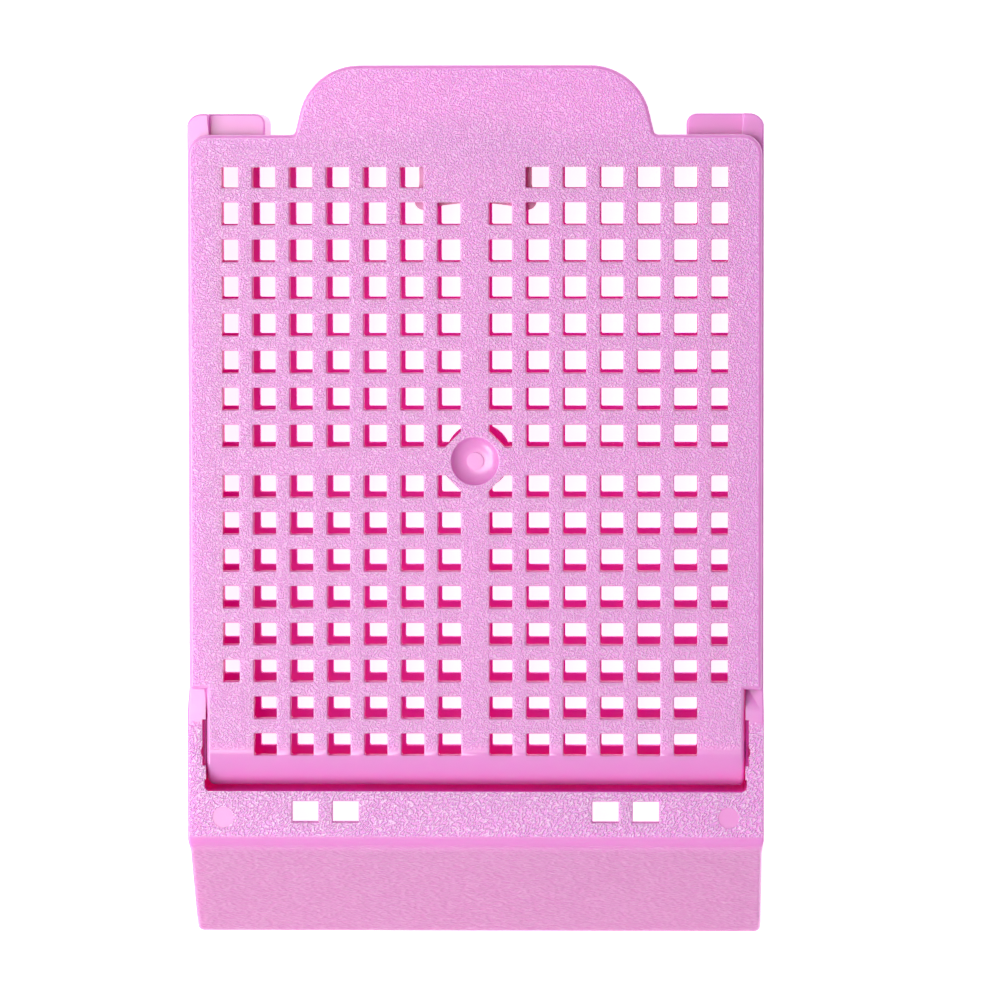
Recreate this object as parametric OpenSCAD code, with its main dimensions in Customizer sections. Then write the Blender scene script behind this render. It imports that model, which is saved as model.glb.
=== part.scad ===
// Hinged tissue cassette: a perforated tray with a slanted writing panel, and a perforated
// snap-down lid that swings on two small nubs. Both are injection mouldings.
// The origin is on the flat underside, below the centre of the hole grid.
// X runs across the tray, Y points from the writing panel to the thumb tab, Z is up.

/* [Overall] */
// Width of the tray across its side walls, at the deck
base_w = 28.6; // [28.4:0.1:30]
// Height from the underside to the top of the closed lid
height = 6.3; // [6.2:0.1:9]
// How far each outer side face leans in between deck and underside
side_draft = 0.15; // [0:0.05:0.3]

/* [Hole grid] */
// Number of hole columns on each side of the middle
half_cols = 7; // [5:1:7]
// Number of hole rows on each side of the middle
half_rows = 8; // [6:1:10]
// Distance between neighbouring holes
pitch = 1.83; // [1.75:0.01:1.84]
// Hole size across
hole_x = 1.14; // [0.9:0.02:1.2]
// Hole size along
hole_y = 1.1; // [0.9:0.02:1.2]
// Width of the two solid bars that cross in the middle
cross_bar = 1.4; // [1:0.05:1.5]
// Radius of the solid disc in the middle of the tray floor
floor_disc_r = 1.65; // [1.3:0.05:1.8]
// Distance of the corner cuts round the lid's gate from the centre
gate_cut = 1.53; // [1.45:0.01:1.6]

/* [Tray] */
// Thickness of the side walls at their rim
side_wall = 0.85; // [0.7:0.05:1]
// Thickness of the rear wall
rear_wall = 0.85; // [0.7:0.05:1.2]
// Thickness of the wall between chamber and deck
front_wall = 0.5; // [0.4:0.05:0.6]
// Thickness of the perforated floor
floor_t = 0.9; // [0.7:0.05:1]
// Solid strip between the last holes and the rear wall
rear_margin = 0.66; // [0.6:0.02:1]
// Strip between the last holes and the front wall, which holds the lid's rolled end
front_margin = 1.78; // [1.7:0.02:2.4]
// Plan radius of the rear outer corners
corner_r = 0.75; // [0.4:0.05:1]
// Plan radius of the chamber's corners
chamber_corner_r = 0.25; // [0.1:0.05:0.4]
// Radius of the fillet where the floor meets the chamber's side walls
floor_fillet = 0.3; // [0.1:0.05:0.5]

/* [Rear ears] */
// How far the ears stand out behind the rear wall
ear_depth = 1.05; // [0.6:0.05:1.6]
// Length of each ear along the rear wall
ear_l = 3.85; // [2.5:0.05:4.2]
// Width of the rim-high corner post of each ear
ear_post = 1.1; // [0.9:0.05:1.5]
// Drop from the rim to the ledge on top of each ear
ledge_drop = 0.8; // [0.4:0.1:1.5]
// Plan radius of the inner end of each ear
ear_end_r = 0.5; // [0.2:0.05:0.8]

/* [Deck and writing panel] */
// Length of the level deck between the chamber and the writing panel
deck_l = 2.6; // [2.3:0.1:4]
// Thickness of the deck
deck_t = 0.8; // [0.6:0.05:1]
// Slant of the writing panel from level, in degrees
panel_angle = 45; // [35:1:46]
// Horizontal run of the writing panel
panel_run = 5; // [4:0.1:5.5]
// Thickness of the writing panel
panel_t = 0.9; // [0.7:0.05:1.1]
// How much narrower the panel is than the deck, on each side
panel_step = 0.1; // [0.05:0.01:0.15]
// Length over which the sides step in from deck to panel
panel_step_run = 0.5; // [0.2:0.05:1]
// Plan radius of the panel's lower corners
panel_corner_r = 0.35; // [0.1:0.05:0.6]
// Thickness of the side walls below deck and panel
panel_side = 1; // [0.8:0.05:1.2]
// Thickness of the ribs below the deck
rib_t = 0.6; // [0.5:0.05:0.8]
// Distance of each rib from the middle
rib_x = 4.6; // [3:0.1:4.8]
// Deck window size across
window_x = 1.3; // [1:0.05:1.4]
// Deck window size along
window_y = 1.04; // [0.8:0.02:1.1]
// Bar between the two windows of a pair
window_gap = 0.7; // [0.5:0.05:0.9]
// Distance from the middle to the centre of each pair of windows
window_pair_x = 7.45; // [7:0.05:8]
// Radius of the smooth ejector marks on the deck
ejector_r = 0.52; // [0.4:0.02:0.6]
// Depth of the ejector marks
ejector_d = 0.04; // [0.02:0.01:0.1]
// Distance from the middle to each ejector mark
ejector_x = 12.54; // [11:0.02:12.6]
// Length of the ramps that rise from the rim to the side shoulders
ramp_l = 1.1; // [0.6:0.1:1.4]

/* [Lid] */
// Thickness of the lid plate
lid_t = 1; // [0.8:0.05:1.1]
// How far the lid's edge stays in from the tray's outer side faces
lid_inset = 0.12; // [0.05:0.01:0.2]
// Plan radius of the lid's rear corners
lid_corner_r = 1; // [0.5:0.1:1.5]
// Side clearance between the lid's locating rib and the tray walls
rib_clear = 0.12; // [0.08:0.02:0.2]
// Gap between the lid's flange and the rim that it rests on
seat_gap = 0.02; // [0.01:0.01:0.05]
// Depth of the locating rib below the plate
lid_rib_d = 0.5; // [0.3:0.05:0.8]
// Thickness of the locating rib along the sides
lid_rib_side = 0.79; // [0.7:0.01:0.85]
// Thickness of the locating rib along the rear
lid_rib_rear = 0.59; // [0.5:0.01:0.65]

/* [Thumb tab] */
// Width of the tab where it leaves the lid
tab_root_w = 17.65; // [14:0.05:18]
// How far the tab reaches past the rear wall
tab_l = 3.42; // [3:0.02:4]
// Radius of the tab's two rounded corners
tab_r = 3; // [2:0.1:3]
// Distance of the corner arcs' centres from the middle
tab_arc_x = 5.7; // [4:0.05:5.8]
// Lean of the tab's sides, in degrees
tab_lean = 11; // [0:1:20]
// Radius of the small fillets where the tab's sides meet the lid
tab_root_r = 0.25; // [0.1:0.05:0.6]

/* [Gate dish] */
// Radius of the dish at the lid's top face
dish_r = 1.17; // [1:0.01:1.25]
// Depth of the dish
dish_d = 0.42; // [0.3:0.02:0.5]
// Radius of the flat button at the bottom of the dish
dish_button_r = 0.42; // [0.3:0.02:0.5]
// Height of the button above the bottom of the dish
dish_button_h = 0.1; // [0.05:0.01:0.15]
// Radius of the boss that backs the dish below the plate
dish_boss_r = 1.45; // [1.3:0.05:1.5]
// Depth of that boss below the plate
dish_boss_d = 0.3; // [0.2:0.05:0.6]

/* [Hinge] */
// Outer radius of the lid's rolled end, struck from the hinge axis
roll_r = 1.8; // [1.75:0.01:1.9]
// Gap between the rolled end and the front wall
roll_gap = 0.17; // [0.1:0.01:0.3]
// How far the rolled end reaches straight down past the hinge axis
roll_lip = 0.35; // [0.2:0.05:0.6]
// Plan radius of the rolled end's two corners
roll_corner_r = 0.35; // [0.1:0.05:0.6]
// Thickness of the two hinge cheeks
cheek_t = 1; // [0.8:0.05:1.2]
// Radius of the hinge cheeks below the hinge axis
cheek_r = 1.2; // [1:0.05:1.4]
// Radius of the ball-ended hinge nubs
nub_r = 0.46; // [0.35:0.01:0.55]
// How far each nub stands out of its cheek
nub_out = 0.32; // [0.28:0.01:0.34]
// Clearance between nub and socket
nub_clear = 0.05; // [0.02:0.01:0.08]
// How much shallower the open lead-in groove is than the socket below it
groove_grip = 0.08; // [0.04:0.01:0.12]
// Width of the shallow relief in the shoulders beside the cheeks
relief_w = 0.1; // [0.05:0.01:0.15]
// Depth of that relief below the shoulders' top
relief_d = 0.4; // [0.2:0.05:0.8]
// How far that relief reaches from the hinge axis towards the deck
relief_front = 0.7; // [0.55:0.05:1.2]
// How far it reaches from the hinge axis towards the ramps
relief_rear = 1.6; // [0.55:0.05:1.8]

/* [Latch] */
// Width of the latch block inside the chamber, at its neck
block_w = 5.56; // [5:0.02:6]
// Width of the latch block across its two rounded feet
block_foot_w = 6.02; // [5.6:0.02:6.6]
// Distance from the locating rib's inner face to the front of the feet
block_l = 2.16; // [1.8:0.02:2.4]
// Rise of the arch between the two feet
block_arch = 0.35; // [0.2:0.05:0.5]
// Radius of the two feet
block_foot_r = 0.42; // [0.3:0.02:0.5]
// Depth of the latch block below the plate
block_d = 1.6; // [1:0.1:2]
// Width of the latch leg outside the rear wall
leg_w = 5; // [4:0.1:6]
// Thickness of the latch leg
leg_t = 0.75; // [0.6:0.05:0.9]
// Gap between the rear wall and the latch leg
leg_gap = 0.34; // [0.3:0.01:0.5]
// Depth of the latch leg below the plate
leg_d = 2.7; // [2:0.1:3.2]
// How far the leg's hook and the wall's catch each stand out
catch_out = 0.15; // [0.08:0.01:0.15]
// Height of the hook and of the catch
catch_h = 0.6; // [0.4:0.05:0.8]
// Drop from the hook's top to the leg's toe
hook_drop = 1; // [0.8:0.05:1.2]

/* [Colour] */
// Colour of the moulded acetal
cassette_pink = "#f0a2da";

/* [Hidden] */
$fn = 48;
over = 0.5;               // how far cutters run past the faces they cut
root = 0.25;              // how far hanging parts run up into the plate
half_w = base_w / 2;
wall_in = half_w - side_wall;
rim_z = height - lid_t - seat_gap;
plate_z = height - lid_t;

// Places of the grid, all measured from the middle
first_x = cross_bar / 2 + hole_x / 2;
first_y = cross_bar / 2 + hole_y / 2;
grid_x = first_x + (half_cols - 1) * pitch + hole_x / 2;
grid_y = first_y + (half_rows - 1) * pitch + hole_y / 2;

// Places along Y
rear_in = grid_y + rear_margin;
rear_out = rear_in + rear_wall;
ear_y = rear_out + ear_depth;
front_in = -(grid_y + front_margin);
deck_end = front_in - deck_l;
panel_end = deck_end - panel_run;
lip_z = height - panel_run * tan(panel_angle);
flange_end = -(first_y + (half_rows - 2.5) * pitch);

// Hinge axis
hinge_y = front_in + roll_gap + roll_r;
hinge_z = height - roll_r;
cheek_x = wall_in - rib_clear;
nub_x = cheek_x + nub_out - nub_r;
socket_r = nub_r + nub_clear;

function side_lean(z) = side_draft * (height - z) / height;

// Points along an arc from angle a to angle b
function arc(cx, cy, r, a, b, n = 12) =
    [for (i = [0:n]) [cx + r * cos(a + (b - a) * i / n), cy + r * sin(a + (b - a) * i / n)]];

// Mirrors its children to both sides of the middle
module both_sides() {
    children();
    mirror([1, 0, 0]) children();
}

// Stands a Y-Z outline up as a bar that spans x0 to x1
module along_x(x0, x1) {
    translate([x0, 0, 0]) rotate([90, 0, 90]) linear_extrude(x1 - x0) children();
}

// Box from one corner to the other
module block(a, b) {
    translate(a) cube(b - a);
}

// Round-ended pin along X, with the centre of its dome at the origin
module round_pin(r) {
    rotate([0, 90, 0]) rotate_extrude()
        polygon(concat([[0, -cheek_t / 2], [r, -cheek_t / 2]], arc(0, 0, r, 0, 90, 6)));
}

// ---------- tray ----------

// Y-Z outline of the whole moulding, seen from its side
module base_side() {
    polygon([
        [ear_y, 0], [ear_y, rim_z], [flange_end, rim_z], [flange_end - ramp_l, height],
        [deck_end, height], [panel_end, lip_z], [panel_end, 0]
    ]);
}

// X-Z outline across the tray, with both sides leaning in towards the underside
module base_across() {
    polygon([
        [half_w - side_lean(0), 0], [half_w, height], [-half_w, height], [side_lean(0) - half_w, 0]
    ]);
}

// Plan outline: rounded rear corners, and a panel a little narrower than the deck
module base_plan() {
    panel_w = half_w - panel_step;
    front = panel_end + panel_corner_r;
    rear = ear_y - corner_r;
    polygon(concat(
        arc(half_w - corner_r, rear, corner_r, 0, 90),
        arc(corner_r - half_w, rear, corner_r, 90, 180),
        [[-half_w, deck_end], [-panel_w, deck_end - panel_step_run]],
        arc(panel_corner_r - panel_w, front, panel_corner_r, 180, 270, 6),
        arc(panel_w - panel_corner_r, front, panel_corner_r, 270, 360, 6),
        [[panel_w, deck_end - panel_step_run], [half_w, deck_end]]
    ));
}

module base_body() {
    intersection() {
        along_x(-half_w, half_w) base_side();
        translate([0, ear_y, 0]) rotate([90, 0, 0]) linear_extrude(ear_y - panel_end) base_across();
        linear_extrude(height) base_plan();
    }
}

// Chamber for the tissue, open at the top, with rounded corners and filleted floor edges
module chamber() {
    x = wall_in - chamber_corner_r;
    intersection() {
        translate([0, rear_in, 0]) rotate([90, 0, 0]) linear_extrude(rear_in - front_in)
            polygon(concat(
                [[wall_in, height + over], [-wall_in, height + over]],
                arc(floor_fillet - wall_in, floor_t + floor_fillet, floor_fillet, 180, 270, 6),
                arc(wall_in - floor_fillet, floor_t + floor_fillet, floor_fillet, 270, 360, 6)
            ));
        linear_extrude(height + over) polygon(concat(
            arc(x, rear_in - chamber_corner_r, chamber_corner_r, 0, 90, 6),
            arc(-x, rear_in - chamber_corner_r, chamber_corner_r, 90, 180, 6),
            arc(-x, front_in + chamber_corner_r, chamber_corner_r, 180, 270, 6),
            arc(x, front_in + chamber_corner_r, chamber_corner_r, 270, 360, 6)
        ));
    }
}

// Plan of the whole hole grid, four quarters round the middle bars
module hole_grid() {
    for (sx = [-1, 1], sy = [-1, 1], i = [0:half_cols - 1], j = [0:half_rows - 1])
        translate([sx * (first_x + i * pitch), sy * (first_y + j * pitch)])
            square([hole_x, hole_y], center = true);
}

// Holes of the floor, with the solid disc left in the middle
module floor_holes() {
    translate([0, 0, -over]) linear_extrude(floor_t + 2 * over) difference() {
        hole_grid();
        circle(floor_disc_r);
    }
}

// Everything behind the rear wall that is not ear, and the drop to the ear ledges
module rear_cuts() {
    gap = half_w - ear_l;
    block([-gap, rear_out, -over], [gap, ear_y + over, height + over]);
    block([ear_post - half_w, rear_out, rim_z - ledge_drop], [half_w - ear_post, ear_y + over, height]);
    both_sides() difference() {
        block([gap - over, ear_y - ear_end_r, -over], [gap + ear_end_r, ear_y + over, height]);
        translate([gap + ear_end_r, ear_y - ear_end_r, -over]) cylinder(r = ear_end_r, h = height + 2 * over);
    }
}

// Catch on the outside of the rear wall, which the lid's hook snaps under
module wall_catch() {
    top = plate_z - leg_d + hook_drop + catch_h;
    along_x(-leg_w / 2, leg_w / 2) polygon([
        [rear_out - over / 2, top], [rear_out, top], [rear_out + catch_out, top - catch_h / 2],
        [rear_out, top - catch_h], [rear_out - over / 2, top - catch_h]
    ]);
}

// Hollow below deck and writing panel, open at the underside and split by the ribs
module front_hollow() {
    slant = panel_t / cos(panel_angle);
    inner_y = front_in - front_wall;
    // where the inner face of the panel meets the underside of the deck
    top_z = height - deck_t;
    top_y = deck_end - (height - slant - top_z) / tan(panel_angle);
    foot_y = panel_end + panel_t;
    foot_z = height - slant - (deck_end - foot_y) * tan(panel_angle);
    side_x = half_w - panel_side;
    module bay(x0, x1) {
        along_x(x0, x1) polygon([
            [inner_y, -over], [inner_y, top_z], [top_y, top_z], [foot_y, foot_z], [foot_y, -over]
        ]);
    }
    bay(rib_t / 2 - rib_x, rib_x - rib_t / 2);
    both_sides() bay(rib_x + rib_t / 2, side_x);
}

module deck_windows() {
    step = (window_x + window_gap) / 2;
    y = front_in - front_wall - window_y;
    both_sides() for (dx = [-step, step])
        translate([window_pair_x + dx - window_x / 2, y, height - deck_t - over])
            cube([window_x, window_y, deck_t + 2 * over]);
}

module ejector_marks() {
    both_sides() translate([ejector_x, (front_in + deck_end) / 2, height - ejector_d])
        cylinder(r = ejector_r, h = over);
}

// Sockets and lead-in grooves for the lid's nubs, and the relief beside the cheeks
module hinge_sockets() {
    both_sides() {
        translate([nub_x, hinge_y, hinge_z]) round_pin(socket_r);
        translate([nub_x, hinge_y, hinge_z]) cylinder(r = socket_r - groove_grip, h = roll_r + over);
        block([wall_in - over, hinge_y - relief_front, height - relief_d],
              [wall_in + relief_w, hinge_y + relief_rear, height + over]);
    }
}

module base() {
    color(cassette_pink) {
        difference() {
            base_body();
            chamber();
            floor_holes();
            rear_cuts();
            front_hollow();
            deck_windows();
            ejector_marks();
            hinge_sockets();
        }
        wall_catch();
    }
}

// ---------- lid ----------

// Plan of the plate: the wide flange with rounded rear corners, the thumb tab, and the
// narrow part between the side shoulders
module plate_plan() {
    w = half_w - lid_inset;
    tab_y = rear_out + tab_l - tab_r;
    root_x = tab_root_w / 2 + tab_root_r;
    polygon(concat(
        [[-cheek_x, hinge_y], [cheek_x, hinge_y], [cheek_x, flange_end], [w, flange_end]],
        arc(w - lid_corner_r, rear_out - lid_corner_r, lid_corner_r, 0, 90),
        arc(root_x, rear_out + tab_root_r, tab_root_r, 270, 180 + tab_lean, 5),
        arc(tab_arc_x, tab_y, tab_r, tab_lean, 90),
        arc(-tab_arc_x, tab_y, tab_r, 90, 180 - tab_lean),
        arc(-root_x, rear_out + tab_root_r, tab_root_r, -tab_lean, -90, 5),
        arc(lid_corner_r - w, rear_out - lid_corner_r, lid_corner_r, 90, 180),
        [[-w, flange_end], [-cheek_x, flange_end]]
    ));
}

// Rolled end of the lid, struck from the hinge axis and as thick as the plate, and the two
// cheeks that close its ends, all with rounded corners in plan
module rolled_end() {
    end_y = hinge_y - roll_r;
    top_y = flange_end - ramp_l / 2;
    intersection() {
        union() {
            along_x(-cheek_x, cheek_x) polygon(concat(
                arc(hinge_y, hinge_z, roll_r, 90, 180, 16),
                [[end_y, hinge_z - roll_lip], [end_y + lid_t, hinge_z - roll_lip]],
                arc(hinge_y, hinge_z, roll_r - lid_t, 180, 90, 10)
            ));
            both_sides() along_x(cheek_x - cheek_t, cheek_x) polygon(concat(
                arc(hinge_y, hinge_z, roll_r, 180, 90, 16),
                [[top_y, height], [top_y, plate_z - lid_rib_d]],
                arc(hinge_y, hinge_z, cheek_r, 0, -180, 16),
                [[end_y, hinge_z - roll_lip]]
            ));
        }
        linear_extrude(height) polygon(concat(
            [[cheek_x, top_y], [-cheek_x, top_y]],
            arc(roll_corner_r - cheek_x, end_y + roll_corner_r, roll_corner_r, 180, 270, 6),
            arc(cheek_x - roll_corner_r, end_y + roll_corner_r, roll_corner_r, 270, 360, 6)
        ));
    }
}

module nubs() {
    both_sides() translate([nub_x, hinge_y, hinge_z]) round_pin(nub_r);
}

// Rib below the plate, which keeps the closed lid in place between the walls
module locating_rib() {
    x0 = cheek_x - lid_rib_side;
    y1 = rear_in - rib_clear;
    difference() {
        block([-cheek_x, flange_end - ramp_l, plate_z - lid_rib_d], [cheek_x, y1, plate_z + lid_t / 2]);
        block([-x0, flange_end - ramp_l - over, plate_z - lid_rib_d - over],
              [x0, y1 - lid_rib_rear, plate_z + lid_t]);
    }
}

// Holes of the lid: the outer ones stop at the rib, and the corners over the cheeks stay solid
module lid_holes() {
    x_max = cheek_x - lid_rib_side;
    y_max = rear_in - rib_clear - lid_rib_rear;
    corner_x = grid_x - pitch;
    translate([0, 0, plate_z - over]) linear_extrude(lid_t + 2 * over) difference() {
        intersection() {
            hole_grid();
            translate([-x_max, -grid_y]) square([2 * x_max, grid_y + y_max]);
        }
        // solid corners over the hinge cheeks
        both_sides() translate([corner_x, -grid_y]) square([pitch, grid_y + flange_end]);
        // solid patch over the latch
        translate([-first_x - pitch / 2, grid_y - pitch]) square([2 * first_x + pitch, pitch]);
        // corner cuts round the gate dish
        rotate(45) square(2 * gate_cut, center = true);
    }
}

// Shallow dish over the injection gate, with a flat button at its bottom
module gate_dish() {
    rotate_extrude() polygon(concat(
        [[0, height + over], [0, height - dish_d + dish_button_h],
         [dish_button_r, height - dish_d + dish_button_h]],
        [for (i = [0:8]) let (r = dish_button_r + (dish_r - dish_button_r) * sin(i * 90 / 8))
            [r, height - dish_d * cos(i * 90 / 8)]],
        [[dish_r, height + over]]
    ));
}

// Latch block inside the chamber: a neck that widens to two rounded feet with an arch between
module latch_block() {
    y_rib = rear_in - rib_clear - lid_rib_rear;
    y_foot = y_rib - block_l + block_foot_r;
    x_foot = block_foot_w / 2 - block_foot_r;
    arch_r = (x_foot * x_foot + block_arch * block_arch) / (2 * block_arch);
    half = asin(x_foot / arch_r);
    translate([0, 0, plate_z - block_d]) linear_extrude(block_d) polygon(concat(
        [[block_w / 2, y_rib + lid_rib_rear], [-block_w / 2, y_rib + lid_rib_rear],
         [-block_w / 2, y_foot + 2 * block_foot_r]],
        arc(-x_foot, y_foot, block_foot_r, 180, 270, 6),
        arc(0, y_foot - block_foot_r + block_arch - arch_r, arch_r, 90 + half, 90 - half, 10),
        arc(x_foot, y_foot, block_foot_r, -90, 0, 6),
        [[block_w / 2, y_foot + 2 * block_foot_r]]
    ));
}

// Latch leg outside the rear wall, with a hook that snaps under the wall's catch
module latch_leg() {
    y0 = rear_out + leg_gap;
    toe_z = plate_z - leg_d;
    hook_z = toe_z + hook_drop;
    along_x(-leg_w / 2, leg_w / 2) polygon([
        [y0 + leg_t + leg_gap, plate_z + root], [y0 - leg_gap / 2, plate_z + root],
        [y0 - leg_gap / 2, plate_z], [y0, plate_z - leg_gap / 2],
        [y0, hook_z + catch_out], [y0 - catch_out, hook_z], [y0 - catch_out, hook_z - catch_h / 2],
        [y0, toe_z], [y0 + leg_t / 2, toe_z],
        [y0 + leg_t, toe_z + leg_t / 2], [y0 + leg_t, plate_z - leg_gap], [y0 + leg_t + leg_gap, plate_z]
    ]);
}

module lid() {
    color(cassette_pink) {
        difference() {
            union() {
                translate([0, 0, plate_z]) linear_extrude(lid_t) plate_plan();
                rolled_end();
                locating_rib();
                translate([0, 0, plate_z - dish_boss_d]) cylinder(r = dish_boss_r, h = dish_boss_d + root);
            }
            lid_holes();
            gate_dish();
        }
        nubs();
        latch_block();
        latch_leg();
    }
}

base();
lid();
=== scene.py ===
import math
import bpy
import bmesh
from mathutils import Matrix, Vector


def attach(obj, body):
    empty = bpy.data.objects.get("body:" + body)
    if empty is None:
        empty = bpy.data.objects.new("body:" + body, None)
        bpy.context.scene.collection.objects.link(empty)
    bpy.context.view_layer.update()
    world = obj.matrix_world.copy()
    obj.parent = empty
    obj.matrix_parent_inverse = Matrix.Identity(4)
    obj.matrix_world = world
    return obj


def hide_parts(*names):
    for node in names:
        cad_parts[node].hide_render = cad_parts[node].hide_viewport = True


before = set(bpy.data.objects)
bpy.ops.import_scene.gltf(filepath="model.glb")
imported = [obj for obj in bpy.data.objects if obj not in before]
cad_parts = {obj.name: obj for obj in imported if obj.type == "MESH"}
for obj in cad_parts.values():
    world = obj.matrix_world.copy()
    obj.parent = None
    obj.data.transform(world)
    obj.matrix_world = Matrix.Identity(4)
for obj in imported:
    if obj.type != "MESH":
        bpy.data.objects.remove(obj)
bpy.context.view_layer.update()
mm = 0.001
hair = 0.01                                   # mm, how near counts as lying in a face
print("frame loaded")

# camera, floor and light

studio = {
    "cameraAt": (9.876, 14.806, 310.51),      # mm, high above the lid and a little to one side
    "cameraTurn": (-3.1511, 1.6180, -0.0641), # degrees
    "lens": 221.98,                           # mm
    "sensor": 36.0,
    "shift": (-0.0005, 0.0005),               # share of the sensor's width
    "clip": (0.01, 10),                       # m
    "floorSize": 3.0,                         # m
    "floorDrop": 0.02,                        # mm below the tray's underside
    "floorColour": (0.93, 0.93, 0.93, 1),
    "floorRoughness": 0.9,
    "floorGlow": 0.87,                        # the floor is a lit table
    "white": (1, 1, 1, 1),                    # colour of that glow and of the sky
    "skyStrength": 0.20,
    "lamps": {                                # place and size in m, power in W
        "key": {"at": (-0.155, 0.0, 0.33), "size": (0.18, 0.30), "power": 1.0},
        "front": {"at": (-0.22, -0.18, 0.22), "size": (0.16, 0.16), "power": 0.57},
    },
}


def makeCamera():
    data = bpy.data.cameras.new("camera")
    camera = bpy.data.objects.new("camera", data)
    bpy.context.scene.collection.objects.link(camera)
    camera.location = Vector(studio["cameraAt"]) * mm
    camera.rotation_euler = [math.radians(turn) for turn in studio["cameraTurn"]]
    data.lens = studio["lens"]
    data.sensor_width = studio["sensor"]
    data.shift_x, data.shift_y = studio["shift"]
    data.clip_start, data.clip_end = studio["clip"]
    bpy.context.scene.camera = camera


def makeFloor():
    half = studio["floorSize"] / 2
    z = -studio["floorDrop"] * mm
    mesh = bpy.data.meshes.new("floor")
    mesh.from_pydata([(x, y, z) for x, y in rectangle(-half, half, -half, half)], [], [(0, 1, 2, 3)])
    material = bpy.data.materials.new("paleFloor")
    material.use_nodes = True
    shader = material.node_tree.nodes["Principled BSDF"]
    shader.inputs["Base Color"].default_value = studio["floorColour"]
    shader.inputs["Roughness"].default_value = studio["floorRoughness"]
    shader.inputs["Emission Color"].default_value = studio["white"]
    shader.inputs["Emission Strength"].default_value = studio["floorGlow"]
    mesh.materials.append(material)
    linkPiece("floor", mesh)


def makeLight():
    world = bpy.data.worlds.new("sky")
    bpy.context.scene.world = world
    world.use_nodes = True
    sky = world.node_tree.nodes["Background"]
    sky.inputs["Color"].default_value = studio["white"]
    sky.inputs["Strength"].default_value = studio["skyStrength"]
    for name, lamp in studio["lamps"].items():
        data = bpy.data.lights.new(name, "AREA")
        data.shape = "RECTANGLE"
        data.size, data.size_y = lamp["size"]
        data.energy = lamp["power"]
        softbox = bpy.data.objects.new(name, data)
        softbox.location = lamp["at"]
        softbox.rotation_euler = (-softbox.location).to_track_quat("-Z", "Y").to_euler()
        softbox.visible_camera = False
        bpy.context.scene.collection.objects.link(softbox)
    bpy.context.scene.view_settings.view_transform = "Standard"


# helpers for every piece


def linkPiece(name, mesh):
    piece = bpy.data.objects.new(name, mesh)
    bpy.context.scene.collection.objects.link(piece)
    return piece


# turns a finished bmesh into a new piece
def pieceFrom(bm, name):
    mesh = bpy.data.meshes.new(name)
    bm.to_mesh(mesh)
    bm.free()
    return linkPiece(name, mesh)


# works on a piece's mesh as a bmesh and writes it back
def editMesh(piece, work):
    bm = bmesh.new()
    bm.from_mesh(piece.data)
    work(bm)
    bm.to_mesh(piece.data)
    bm.free()


# turns what the modifiers give into the piece's own plain mesh
def bakeModifiers(piece):
    bpy.context.view_layer.update()
    seen = piece.evaluated_get(bpy.context.evaluated_depsgraph_get())
    mesh = bpy.data.meshes.new_from_object(seen)
    piece.modifiers.clear()
    piece.data = mesh
    mesh.name = piece.name


def combine(piece, tool, operation):
    step = piece.modifiers.new("combine", "BOOLEAN")
    step.object, step.operation, step.solver = tool, operation, "MANIFOLD"
    bakeModifiers(piece)
    bpy.data.objects.remove(tool)


merging = {"loose": 0.001, "double": 0.002, "sliver": 0.02, "flat": 0.5}     # mm, flat in degrees


# a closed copy of a CAD node's loose triangles
def copyNode(node, name):
    piece = linkPiece(name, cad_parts[node].data.copy())
    piece.data.materials.clear()
    editMesh(piece, lambda bm: bmesh.ops.remove_doubles(bm, verts=bm.verts, dist=merging["loose"] * mm))
    return piece


# a prism from outlines in mm, swept along X or Z from start to end
def makePrism(name, outlines, axis, start, end):
    digits = 9                                    # places are rounded to the nanometre
    bm = bmesh.new()
    for outline in outlines:
        rings = []
        for place in (start, end):
            points = [(place, a, b) if axis == "X" else (a, b, place) for a, b in outline]
            rings.append([bm.verts.new([round(part * mm, digits) for part in point]) for point in points])
        for i in range(len(outline)):
            j = (i + 1) % len(outline)
            bm.faces.new((rings[0][i], rings[0][j], rings[1][j], rings[1][i]))
        bm.faces.new(rings[0][::-1])
        bm.faces.new(rings[1])
    bmesh.ops.recalc_face_normals(bm, faces=bm.faces)
    return pieceFrom(bm, name)


def rectangle(x0, x1, y0, y1):
    return [(x0, y0), (x1, y0), (x1, y1), (x0, y1)]


def circle(radius, steps):
    return [(radius * math.cos(2 * math.pi * i / steps), radius * math.sin(2 * math.pi * i / steps))
            for i in range(steps)]


# the hinge's axis runs along X, and its nubs and sockets end in small domes
hinge = {"y": -14.42, "z": 4.5, "domeX": 13.5, "domeR": 0.3}        # mm


# joins faces that lie in one plane, but not at the domes, which merging tears at the axis
def mergePlanes(bm):
    def outsideDome(vert):
        y, z = vert.co.y / mm - hinge["y"], vert.co.z / mm - hinge["z"]
        return abs(vert.co.x) < hinge["domeX"] * mm or math.hypot(y, z) > hinge["domeR"]

    def plainEdges():
        return [edge for edge in bm.edges if all(outsideDome(vert) for vert in edge.verts)]

    def plainVerts():
        return [vert for vert in bm.verts if outsideDome(vert)]

    bmesh.ops.remove_doubles(bm, verts=plainVerts(), dist=merging["double"] * mm)
    bmesh.ops.dissolve_degenerate(bm, edges=plainEdges(), dist=merging["sliver"] * mm)
    bmesh.ops.dissolve_limit(bm, verts=plainVerts(), edges=plainEdges(),
                             angle_limit=math.radians(merging["flat"]))


# the grid of square holes, alike in both mouldings

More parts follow.
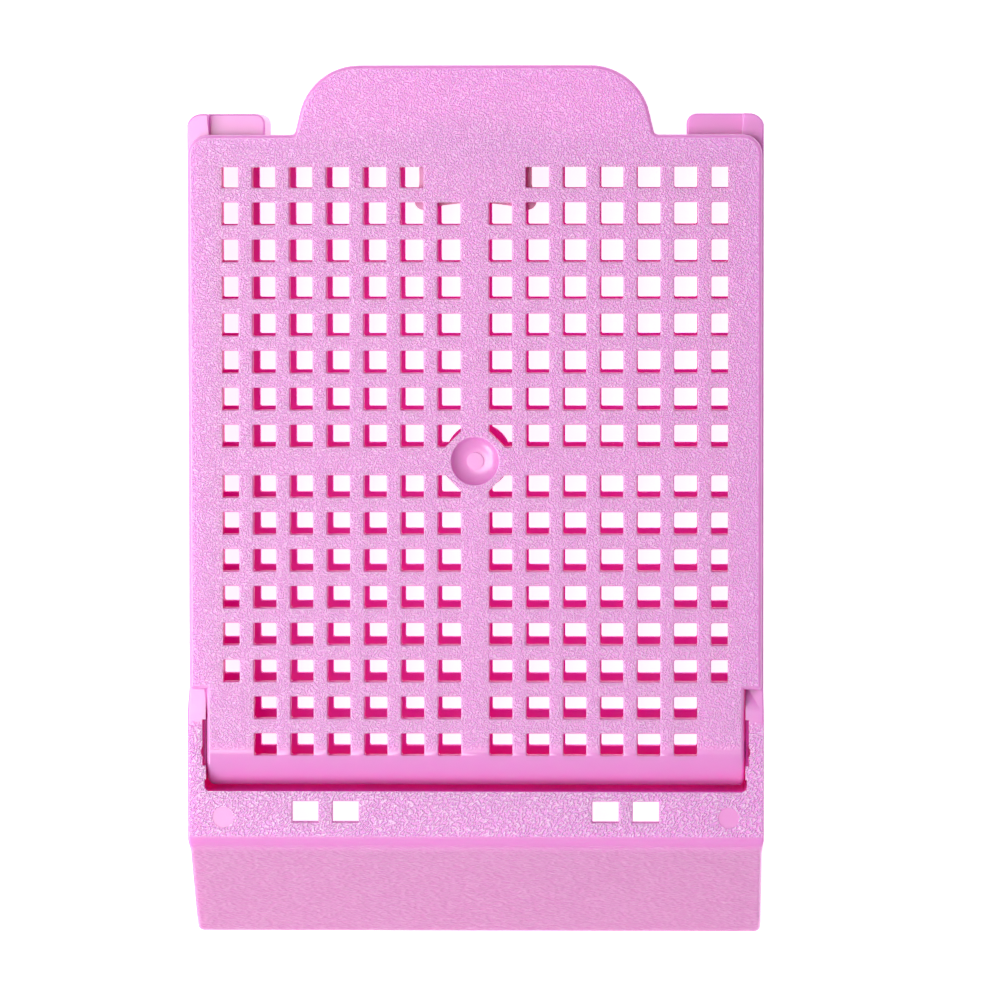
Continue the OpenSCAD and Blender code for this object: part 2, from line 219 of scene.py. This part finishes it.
grid = {
    "holeX": 1.14,       # mm
    "holeY": 1.10,
    "pitch": 1.83,
    "bar": 1.4,          # solid cross between the four quarters
    "halfColumns": 7,
    "halfRows": 8,
    "lip": 0.05,         # rounding of a hole's mouth
    "corner": 0.06,      # size of the slanted corners of a hole
    "past": 0.3,         # how far a punch stands out of the plate
    "plugMargin": 0.09,  # how far a plug reaches past the outermost holes
    "solid": (-1, 8),    # lower and upper end of a prism that marks solid places
}
grid["endX"] = grid["bar"] / 2 + grid["holeX"] + (grid["halfColumns"] - 1) * grid["pitch"]
grid["endY"] = grid["bar"] / 2 + grid["holeY"] + (grid["halfRows"] - 1) * grid["pitch"]
grid["plugX"] = grid["endX"] + grid["plugMargin"]
grid["plugY"] = grid["endY"] + grid["plugMargin"]


# a hole's punch, which flares at both mouths of a plate that lies from low to high
def makePunch(low, high):
    lip, corner = grid["lip"], grid["corner"]
    flare = [(0, 1), (0.293, 0.293), (1, 0)]          # quarter round: depth and width, in lips
    rings = [(low - grid["past"], 1)] + [(low + depth * lip, wide) for depth, wide in flare]
    rings += [(high - depth * lip, wide) for depth, wide in flare[::-1]] + [(high + grid["past"], 1)]
    bm = bmesh.new()
    loops = []
    for z, wide in rings:
        x, y = grid["holeX"] / 2 + wide * lip, grid["holeY"] / 2 + wide * lip
        outline = [(x, corner - y), (x, y - corner), (x - corner, y), (corner - x, y),
                   (-x, y - corner), (-x, corner - y), (corner - x, -y), (x - corner, -y)]
        loops.append([bm.verts.new((px * mm, py * mm, z * mm)) for px, py in outline])
    for below, above in zip(loops, loops[1:]):
        for i in range(len(below)):
            j = (i + 1) % len(below)
            bm.faces.new((below[i], below[j], above[j], above[i]))
    bm.faces.new(loops[0][::-1])
    bm.faces.new(loops[-1])
    return pieceFrom(bm, "punch")


def makePerforateTree():
    tree = bpy.data.node_groups.new("perforate", "GeometryNodeTree")
    face, nodes, links = tree.interface, tree.nodes, tree.links
    face.new_socket("Geometry", in_out="INPUT", socket_type="NodeSocketGeometry")
    for label, kind in (("Punch", "Object"), ("Solid places", "Object"),
                        ("Columns", "Int"), ("Rows", "Int"), ("Pitch", "Float"),
                        ("First hole X", "Float"), ("First hole Y", "Float"), ("Material", "Material")):
        face.new_socket(label, in_out="INPUT", socket_type="NodeSocket" + kind)
    face.new_socket("Geometry", in_out="OUTPUT", socket_type="NodeSocketGeometry")
    given = nodes.new("NodeGroupInput").outputs

    def reckon(operation, *values):
        node = nodes.new("ShaderNodeMath")
        node.operation = operation
        for socket, value in zip(node.inputs, values):
            if isinstance(value, (int, float)):
                socket.default_value = value
            else:
                links.new(value, socket)
        return node.outputs[0]

    # an even grid of points, opened up along the middle cross
    sheet = nodes.new("GeometryNodeMeshGrid")
    for axis, count in (("X", given["Columns"]), ("Y", given["Rows"])):
        links.new(count, sheet.inputs["Vertices " + axis])
        span = reckon("MULTIPLY", reckon("SUBTRACT", count, 1), given["Pitch"])
        links.new(span, sheet.inputs["Size " + axis])
    place = nodes.new("GeometryNodeInputPosition")
    split = nodes.new("ShaderNodeSeparateXYZ")
    links.new(place.outputs[0], split.inputs[0])
    shift = nodes.new("ShaderNodeCombineXYZ")
    halfPitch = reckon("MULTIPLY", given["Pitch"], 0.5)
    for axis in "XY":
        gap = reckon("SUBTRACT", given["First hole " + axis], halfPitch)
        links.new(reckon("MULTIPLY", reckon("SIGN", split.outputs[axis]), gap), shift.inputs[axis])
    opened = nodes.new("GeometryNodeSetPosition")
    links.new(sheet.outputs["Mesh"], opened.inputs["Geometry"])
    links.new(shift.outputs[0], opened.inputs["Offset"])

    # one punch at each point, less the places that stay solid
    punch = nodes.new("GeometryNodeObjectInfo")
    links.new(given["Punch"], punch.inputs["Object"])
    punches = nodes.new("GeometryNodeInstanceOnPoints")
    links.new(opened.outputs["Geometry"], punches.inputs["Points"])
    links.new(punch.outputs["Geometry"], punches.inputs["Instance"])
    solid = nodes.new("GeometryNodeObjectInfo")
    links.new(given["Solid places"], solid.inputs["Object"])
    single = nodes.new("GeometryNodeRealizeInstances")
    links.new(punches.outputs[0], single.inputs[0])
    trimmed = nodes.new("GeometryNodeMeshBoolean")
    links.new(single.outputs[0], trimmed.inputs["Mesh 1"])
    links.new(solid.outputs["Geometry"], trimmed.inputs["Mesh 2"])
    cut = nodes.new("GeometryNodeMeshBoolean")
    links.new(given["Geometry"], cut.inputs["Mesh 1"])
    links.new(trimmed.outputs["Mesh"], cut.inputs["Mesh 2"])
    for node in (trimmed, cut):
        node.operation, node.solver = "DIFFERENCE", "MANIFOLD"

    real = nodes.new("GeometryNodeRealizeInstances")
    links.new(cut.outputs["Mesh"], real.inputs[0])
    painted = nodes.new("GeometryNodeSetMaterial")
    links.new(real.outputs[0], painted.inputs["Geometry"])
    links.new(given["Material"], painted.inputs["Material"])
    links.new(painted.outputs[0], nodes.new("NodeGroupOutput").inputs[0])
    return tree


def perforate(piece, punch, solidPlaces, material):
    tree = bpy.data.node_groups.get("perforate") or makePerforateTree()
    step = piece.modifiers.new("perforate", "NODES")
    step.node_group = tree
    settings = {
        "Punch": punch, "Solid places": solidPlaces, "Material": material,
        "Columns": 2 * grid["halfColumns"], "Rows": 2 * grid["halfRows"], "Pitch": grid["pitch"] * mm,
        "First hole X": (grid["bar"] + grid["holeX"]) / 2 * mm,
        "First hole Y": (grid["bar"] + grid["holeY"]) / 2 * mm,
    }
    for item in tree.interface.items_tree:
        if item.name in settings:
            step[item.identifier] = settings[item.name]
    bakeModifiers(piece)
    for tool in (punch, solidPlaces):
        bpy.data.objects.remove(tool)


# rounded edges

rounding = {
    "steps": 3,
    "widest": 0.35,      # mm
    "roundAbove": 40,    # degrees, edges that stand out further than this are rounded
    "smoothBelow": 50,   # degrees, edges under this are shaded smooth
    "upright": 0.8,      # upward share of an edge's direction from which it counts as upright
}


# Gives every outer edge the rounding that its rule says (mm), then bevels them in one go. Sliding
# keeps the new edges even, but where corners are crowded it folds them over.
def roundEdges(piece, rule, slide):
    def weigh(bm):
        weight = bm.edges.layers.float.new("bevel_weight_edge")
        for edge in bm.edges:
            if edge.calc_face_angle_signed(0) > math.radians(rounding["roundAbove"]):
                a, b = (vert.co / mm for vert in edge.verts)
                middle, upright = (a + b) / 2, abs((b - a).normalized().z) > rounding["upright"]
                edge[weight] = rule(abs(middle.x), middle.y, middle.z, upright) / rounding["widest"]
    editMesh(piece, weigh)
    step = piece.modifiers.new("round", "BEVEL")
    step.limit_method, step.width, step.segments = "WEIGHT", rounding["widest"] * mm, rounding["steps"]
    step.use_clamp_overlap, step.loop_slide = False, slide
    bakeModifiers(piece)


def smoothSurface(piece):
    def markSharp(bm):
        for face in bm.faces:
            face.smooth = True
        for edge in bm.edges:
            edge.smooth = edge.calc_face_angle(0) < math.radians(rounding["smoothBelow"])
    editMesh(piece, markSharp)
    step = piece.modifiers.new("flatten", "WEIGHTED_NORMAL")
    step.keep_sharp = True
    bakeModifiers(piece)


def countFaces(piece):
    bm = bmesh.new()
    bm.from_mesh(piece.data)
    bad = sum(1 for edge in bm.edges if not edge.is_manifold)
    print(piece.name, "has", len(bm.faces), "faces,", bad, "open edges")
    bm.free()


# pink acetal

acetal = {
    "roughness": 0.28,
    "travel": (1.0, 0.35, 0.8),    # how far red, green and blue go under the skin, in depths
    "depth": 0.0015,               # m
    # glow is the share of light that goes under the skin
    "skin": {"colour": (0.82, 0.29, 0.68, 1), "shine": 1.0, "glow": 0.5},
    # inside is a deeper, more saturated pink for hole walls, undersides and hollows: painted shade, not a
    # colour of the plastic
    "inside": {"colour": (1.0, 0.08, 0.56, 1), "shine": 0.1, "glow": 1.0},
}
# size is how fine the noise is, length its stretch, turn its direction in degrees, depth in m, and
# the crest share how far the crests are whitened, which is painted sheen; each fade is in mm along Y, from
# bare to fully grained
grain = {
    "valley": 0.35,                # height of the noise that counts as the grain's foot
    "crest": 0.65,
    "lid": {"colour": (0.98, 0.37, 0.84), "size": 14000, "length": 1.5, "turn": -35, "depth": 0.00005,
            "crestSheen": 0.18, "fades": [(-14.35, -13.9)]},
    "deck": {"colour": (0.98, 0.36, 0.84), "size": 12500, "length": 1.8, "turn": -40, "depth": 0.00007,
             "crestSheen": 0.30, "fades": [(-12.9, -13.4), (-19.0, -18.6)]},
    # the panel's colour is darker than the skin: painted shade for its forward-leaning face, over its real
    # grain
    "panel": {"colour": (0.64, 0.19, 0.50), "size": 16000, "length": 4, "turn": 90, "depth": 0.00003,
              "crestSheen": 0.06, "fades": [(-18.9, -19.5)]},
}


def makeAcetal(name, tone):
    material = bpy.data.materials.new(name)
    material.use_nodes = True
    shader = material.node_tree.nodes["Principled BSDF"]
    shader.inputs["Base Color"].default_value = tone["colour"]
    shader.inputs["Roughness"].default_value = acetal["roughness"]
    shader.inputs["Specular IOR Level"].default_value = tone["shine"]
    shader.inputs["Subsurface Weight"].default_value = tone["glow"]
    shader.inputs["Subsurface Radius"].default_value = acetal["travel"]
    shader.inputs["Subsurface Scale"].default_value = acetal["depth"]
    return material


# acetal with a fine moulded grain, whose crests are whitened as painted sheen, and which fades into the
# plain skin
def makeGrained(name, tone, texture):
    material = makeAcetal(name, tone)
    nodes, links = material.node_tree.nodes, material.node_tree.links
    shader = nodes["Principled BSDF"]
    place = nodes.new("ShaderNodeTexCoord")
    turn = nodes.new("ShaderNodeMapping")
    turn.vector_type = "TEXTURE"
    turn.inputs["Rotation"].default_value = (0, 0, math.radians(texture["turn"]))
    turn.inputs["Scale"].default_value = (1, texture["length"], 1)
    worms = nodes.new("ShaderNodeTexNoise")
    worms.inputs["Scale"].default_value = texture["size"]
    worms.inputs["Detail"].default_value = 0
    bump = nodes.new("ShaderNodeBump")
    bump.inputs["Distance"].default_value = texture["depth"]
    links.new(place.outputs["Object"], turn.inputs["Vector"])
    links.new(turn.outputs[0], worms.inputs["Vector"])
    links.new(bump.outputs[0], shader.inputs["Normal"])
    crests = nodes.new("ShaderNodeMapRange")
    crests.inputs["From Min"].default_value = grain["valley"]
    crests.inputs["From Max"].default_value = grain["crest"]
    links.new(worms.outputs[0], crests.inputs["Value"])
    # painted sheen: the grain's crests are mixed towards white, standing in for glints
    sheenColour = [part + (1 - part) * texture["crestSheen"] for part in texture["colour"]]
    paintedSheen = nodes.new("ShaderNodeMix")
    paintedSheen.data_type = "RGBA"
    paintedSheen.inputs["A"].default_value = texture["colour"] + (1,)
    paintedSheen.inputs["B"].default_value = sheenColour + [1]
    links.new(crests.outputs[0], paintedSheen.inputs["Factor"])

    split = nodes.new("ShaderNodeSeparateXYZ")
    links.new(place.outputs["Object"], split.inputs[0])
    height, base = crests.outputs[0], paintedSheen.outputs["Result"]
    for bare, full in texture["fades"]:
        fade = nodes.new("ShaderNodeMapRange")
        fade.inputs["From Min"].default_value = bare * mm
        fade.inputs["From Max"].default_value = full * mm
        links.new(split.outputs["Y"], fade.inputs["Value"])
        masked = nodes.new("ShaderNodeMath")
        masked.operation = "MULTIPLY"
        links.new(height, masked.inputs[0])
        links.new(fade.outputs[0], masked.inputs[1])
        cover = nodes.new("ShaderNodeMix")
        cover.data_type = "RGBA"
        cover.inputs["A"].default_value = tone["colour"]
        links.new(fade.outputs[0], cover.inputs["Factor"])
        links.new(base, cover.inputs["B"])
        height, base = masked.outputs[0], cover.outputs["Result"]
    links.new(height, bump.inputs["Height"])
    links.new(base, shader.inputs["Base Color"])
    return material


smoothAcetal = makeAcetal("smoothAcetal", acetal["skin"])
# painted shade: the material for faces that lie in shade inside the cassette
innerAcetal = makeAcetal("innerAcetal", acetal["inside"])


# gives each face the finish that its rule names
def finishFaces(piece, finishes, rule):
    piece.data.materials.clear()
    for material in finishes.values():
        piece.data.materials.append(material)
    slots = list(finishes)
    for face in piece.data.polygons:
        centre = face.center / mm
        finish = rule(abs(centre.x), centre.y, centre.z, face.normal)
        face.material_index = slots.index(finish)


# lid

lid = {
    "low": 5.3, "high": 6.3,            # mm, the plate's two faces
    "flangeEnd": -11.315,
    "rollSteps": (16, 10),              # chords of a quarter turn, on the roll's outside and inside
    "dishPlug": 1.3, "dishSteps": 16,   # radius and chords of the space that the plug leaves the dish
    "dishSpace": (4, 8),                # lower and upper end of that space
    "dishR": 1.5,                       # the dish and its rim lie within this
    "padHalf": 1.53,                    # half side of the solid square that stands on its corner
    "ribX": 12.5, "ribY": 14.52,        # inner faces of the locating rib
    "cornerX": 10.99,                   # solid corners over the hinge cheeks
    "patchX": 2.185, "patchY": 12.78,   # solid patch over the latch
    "outside": 20,                      # any place beyond the plate
    "legX": 2.6, "legY": 16.2,          # the latch leg lies inside of the one and behind the other
    "nubX": 13.28, "nubY": -13.4, "nubR": 1,            # nubR and rollR are struck from the hinge
    "footX": 12.2, "footY": -15.6, "footZ": 4.1,
    "rollY": -15.5, "rollZ": 4.3,       # lower edge of the roll
    "rollX": 13, "rollR": 1.7,          # outer edge of the roll's two ends
    "levelFrom": 0.99,                  # upward share of a level face's normal, at least
    "shadeX": 12.7, "shadeY": (-14.7, 14.72), "shadeR": 1.4,      # hole walls and underside, which get the painted shade colour
    "shadeTilt": 0.1,                   # and the same share there, at most
    "edges": {"top": 0.18, "under": 0.08, "dish": 0.05, "corner": 0.12, "small": 0.05},
}


# closes the CAD holes of the plate, so that they can be cut anew with rounded mouths
def plugLid(blank):
    # a round flank, drawn with the same chords as the CAD
    def flank(radius, steps):
        turn = math.pi / 2 / steps
        points = [(hinge["y"] - radius * math.sin(i * turn), hinge["z"] + radius * math.cos(i * turn))
                  for i in range(steps)]
        inside = [point for point in points if point[0] > -grid["plugY"]]
        (ya, za), (yb, zb) = inside[-1], points[len(inside)]
        return inside + [(-grid["plugY"], za + (zb - za) * (-grid["plugY"] - ya) / (yb - ya))]

    upper, lower = (flank(lid[level] - hinge["z"], steps)
                    for level, steps in zip(("high", "low"), lid["rollSteps"]))
    outline = [(grid["plugY"], lid["low"]), (grid["plugY"], lid["high"])] + upper + lower[::-1]
    plug = makePrism("plug", [outline], "X", -grid["plugX"], grid["plugX"])
    dish = circle(lid["dishPlug"], lid["dishSteps"])
    combine(plug, makePrism("dishSpace", [dish], "Z", *lid["dishSpace"]), "DIFFERENCE")
    combine(blank, plug, "UNION")
    editMesh(blank, mergePlanes)


def lidRounding(x, y, z, upright):
    edges, onTop = lid["edges"], z > lid["high"] - hair
    fromHinge = math.hypot(y - hinge["y"], z - hinge["z"])
    if math.hypot(x, y) < lid["dishR"]:
        return edges["dish"] if onTop else 0
    if x < lid["legX"] and y > lid["legY"] and z < lid["low"] - hair:
        return 0                                  # latch leg and its hook
    if x > lid["nubX"] and y < lid["nubY"] and fromHinge < lid["nubR"]:
        return 0
    if x > lid["footX"] and y > lid["footY"] and z < lid["footZ"]:
        return 0                                  # feet of the hinge cheeks
    if y < lid["rollY"] and z < lid["rollZ"]:
        return edges["small"]
    if onTop or (x > lid["rollX"] and y < hinge["y"] and fromHinge > lid["rollR"]):
        return edges["top"]
    if upright:
        return edges["corner"] if z > lid["low"] - hair else edges["small"]
    return edges["under"]


def lidFinish(x, y, z, normal):
    if z > lid["high"] - hair / 2 and normal.z > lid["levelFrom"]:
        return "grained"
    # the hole walls and the plate's underside get the painted shade colour
    front, rear = lid["shadeY"]
    underPlate = x < lid["shadeX"] and front < y < rear and normal.z < lid["shadeTilt"]
    return "inner" if underPlate and math.hypot(x, y) > lid["shadeR"] else "smooth"


def makeLid():
    shell = copyNode("lid", "lidShell")
    plugLid(shell)
    roundEdges(shell, lidRounding, slide=True)
    pad, far = lid["padHalf"] * math.sqrt(2), lid["outside"]
    # everything outside the rib, the corners over the cheeks and the patch over the latch
    border = [(far, far), (far, -far), (lid["cornerX"], -far), (lid["cornerX"], lid["flangeEnd"]),
              (lid["ribX"], lid["flangeEnd"]), (lid["ribX"], lid["ribY"]),
              (lid["patchX"], lid["ribY"]), (lid["patchX"], lid["patchY"])]
    solid = [
        border + [(-x, y) for x, y in border[::-1]],
        [(pad, 0), (0, pad), (-pad, 0), (0, -pad)],
    ]
    perforate(shell, makePunch(lid["low"], lid["high"]),
              makePrism("lidSolid", solid, "Z", *grid["solid"]), smoothAcetal)
    smoothSurface(shell)
    grainedLid = makeGrained("grainedLid", acetal["skin"], grain["lid"])
    finishFaces(shell, {"smooth": smoothAcetal, "grained": grainedLid, "inner": innerAcetal}, lidFinish)
    countFaces(shell)
    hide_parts("lid")
    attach(shell, "lid")


# tray

tray = {
    "low": 0.0, "high": 0.9,            # mm, the floor's two faces
    "deckZ": 6.3, "deckEnd": -18.99,    # height of the deck, and where it bends into the panel
    "discR": 1.65, "discSteps": 48,     # solid disc in the middle of the floor
    "liner": (13.38, 13.50),            # narrows the slot beside a cheek of the lid
    "linerEnds": (-15.8, -12.415, -11.315),             # its front, the top and the foot of its ramp
    "linerZ": (5.0, 5.28),              # its lower edge, and the height of that foot
    "relief": (-15.12, -12.82, 5.9),    # front, rear and floor of the relief in a shoulder
    "cap": (13.49, 13.75), "capY": (-14.94, -13.90), "capZ": (5.0, 5.75),     # covers a groove
    "cornerRoom": 0.14,                 # what a rounding needs beside a corner
    "lipY": -23.6,                      # the front lip lies before this
    "sideX": 14.1, "footX": 14.0,       # outer side faces, and their lower edges
    "rearY": 16.0, "earY": 16.1,        # rear wall and its two corner ears
    "earCorner": (13.5, 16.8),          # outer corners of the ears, in X and Y
    "catchX": 2.6,
    "socketX": (13.1, 14.1), "socketY": (-16.5, -11.2),
    "markX": 12.54, "markY": -17.69, "markR": 0.6,      # round ejector marks on the deck
    "windowX": (5, 10), "windowY": -16.8, "windowZ": 5.4,
    "panelZ": 0.05,                     # the panel's side edges lie above this
    "rimZ": 5.2, "floorZ": 0.95,        # just under the rim, just over the floor
    "baysY": -16.4,                     # the bays under deck and panel lie before this
    "panelRun": 0.4, "panelTilt": (-0.08, 0.5),         # forward and upward share of its normal
    "deckStart": -12.2, "levelFrom": 0.9,
    # the chamber's insides and the slots beside the cheeks get the painted shade colour
    "chamberX": 13.46, "chamberY": (-16.4, 15.28), "chamberZ": (0.04, 5.2), "chamberTilt": -0.5,
    "slotX": (13.3, 13.8), "slotY": (-15.1, -12.9), "slotZ": (5, 6.28),     # beside the cheeks
    "edges": {"deckSide": 0.12, "bend": 0.35, "panelSide": 0.2, "window": 0.06, "rim": 0.1,
              "bottom": 0.1, "ear": 0.1, "small": 0.05},
}


# draws a corner that lies close beside a level edge into it, which leaves the rounding room
def clearCorners(bm):
    mergePlanes(bm)
    targets = {}
    for edge in bm.edges:
        low, high = sorted(edge.verts, key=lambda vert: vert.co.z)
        if high.co.z - low.co.z < hair * mm or edge.calc_length() > tray["cornerRoom"] * mm:
            continue
        if low.co.y < tray["lipY"] * mm and low.co.z < hair * mm:
            targets[high] = low
        elif low.co.y > tray["rearY"] * mm and high.co.z > (tray["linerZ"][1] - hair) * mm:
            targets[low] = high
    bmesh.ops.weld_verts(bm, targetmap=targets)


# narrows the slots beside the lid's cheeks and covers the grooves of the sockets
def lineSlots(blank):
    front, top, foot = tray["linerEnds"]
    low, rim = tray["linerZ"]
    reliefFront, reliefRear, reliefZ = tray["relief"]
    liner = [(front, low), (front, tray["deckZ"]), (reliefFront, tray["deckZ"]),
             (reliefFront, reliefZ), (reliefRear, reliefZ), (reliefRear, tray["deckZ"]),
             (top, tray["deckZ"]), (foot, rim), (foot, low)]
    cap = rectangle(*tray["capY"], *tray["capZ"])
    for side in (-1, 1):
        for outline, (start, end) in ((liner, tray["liner"]), (cap, tray["cap"])):
            combine(blank, makePrism("liner", [outline], "X", side * start, side * end), "UNION")


# closes the CAD holes of the floor, as in the lid
def plugTray(blank):
    outline = rectangle(-grid["plugX"], grid["plugX"], -grid["plugY"], grid["plugY"])
    combine(blank, makePrism("plug", [outline], "Z", tray["low"], tray["high"]), "UNION")
    lineSlots(blank)
    editMesh(blank, clearCorners)


# tells whether a value lies between two ends
def between(value, ends):
    return ends[0] < value < ends[1]


def trayRounding(x, y, z, upright):
    edges, onDeck = tray["edges"], z > tray["deckZ"] - hair
    if x < tray["catchX"] and y > tray["rearY"]:
        return 0                                  # catch for the latch
    if between(x, tray["socketX"]) and between(y, tray["socketY"]):
        return 0                                  # sockets and reliefs
    if math.hypot(x - tray["markX"], y - tray["markY"]) < tray["markR"]:
        return 0
    if z < hair and (x > tray["footX"] or y > tray["rearY"] or y < tray["lipY"]):
        atCorner = x > tray["earCorner"][0] and y > tray["earCorner"][1]
        return 0 if y < tray["lipY"] or atCorner else edges["bottom"]
    if onDeck and abs(y - tray["deckEnd"]) < 2 * hair:
        return edges["bend"]
    outerSide = x > tray["sideX"]
    if y < tray["lipY"] or (y < tray["deckEnd"] and outerSide and z > tray["panelZ"] and not upright):
        return edges["panelSide"]
    if z > tray["windowZ"] and y < tray["windowY"] and between(x, tray["windowX"]):
        return edges["window"]
    if onDeck:
        return edges["deckSide"] if outerSide else edges["small"]
    if y > tray["earY"]:
        return edges["ear"]
    if z > tray["rimZ"]:
        return edges["rim"]
    return edges["small"] if z > tray["floorZ"] or y < tray["baysY"] else 0


def trayFinish(x, y, z, normal):
    forward, upward = tray["panelTilt"]
    # the panel gets its darker colour, a painted shade
    if y < tray["deckEnd"] + tray["panelRun"] and normal.y < forward and normal.z > upward:
        return "panel"
    if y < tray["deckStart"] and normal.z > tray["levelFrom"] and z > tray["deckZ"] - 2 * hair:
        return "deck"
    # the chamber's insides and the slots get the painted shade colour
    if (x < tray["chamberX"] and between(y, tray["chamberY"]) and between(z, tray["chamberZ"])
            and normal.z > tray["chamberTilt"]):
        return "inner"
    if between(x, tray["slotX"]) and between(y, tray["slotY"]) and between(z, tray["slotZ"]):
        return "inner"
    return "smooth"


def makeTray():
    shell = copyNode("base", "trayShell")
    plugTray(shell)
    roundEdges(shell, trayRounding, slide=False)
    disc = circle(tray["discR"], tray["discSteps"])
    perforate(shell, makePunch(tray["low"], tray["high"]),
              makePrism("traySolid", [disc], "Z", *grid["solid"]), smoothAcetal)
    smoothSurface(shell)
    finishes = {"smooth": smoothAcetal, "deck": makeGrained("grainedDeck", acetal["skin"], grain["deck"]),
                "panel": makeGrained("grainedPanel", acetal["skin"], grain["panel"]), "inner": innerAcetal}
    finishFaces(shell, finishes, trayFinish)
    countFaces(shell)
    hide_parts("base")
    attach(shell, "base")


makeCamera()
makeFloor()
makeLight()
print("studio made")
makeTray()
print("tray made")
makeLid()
print("lid made")
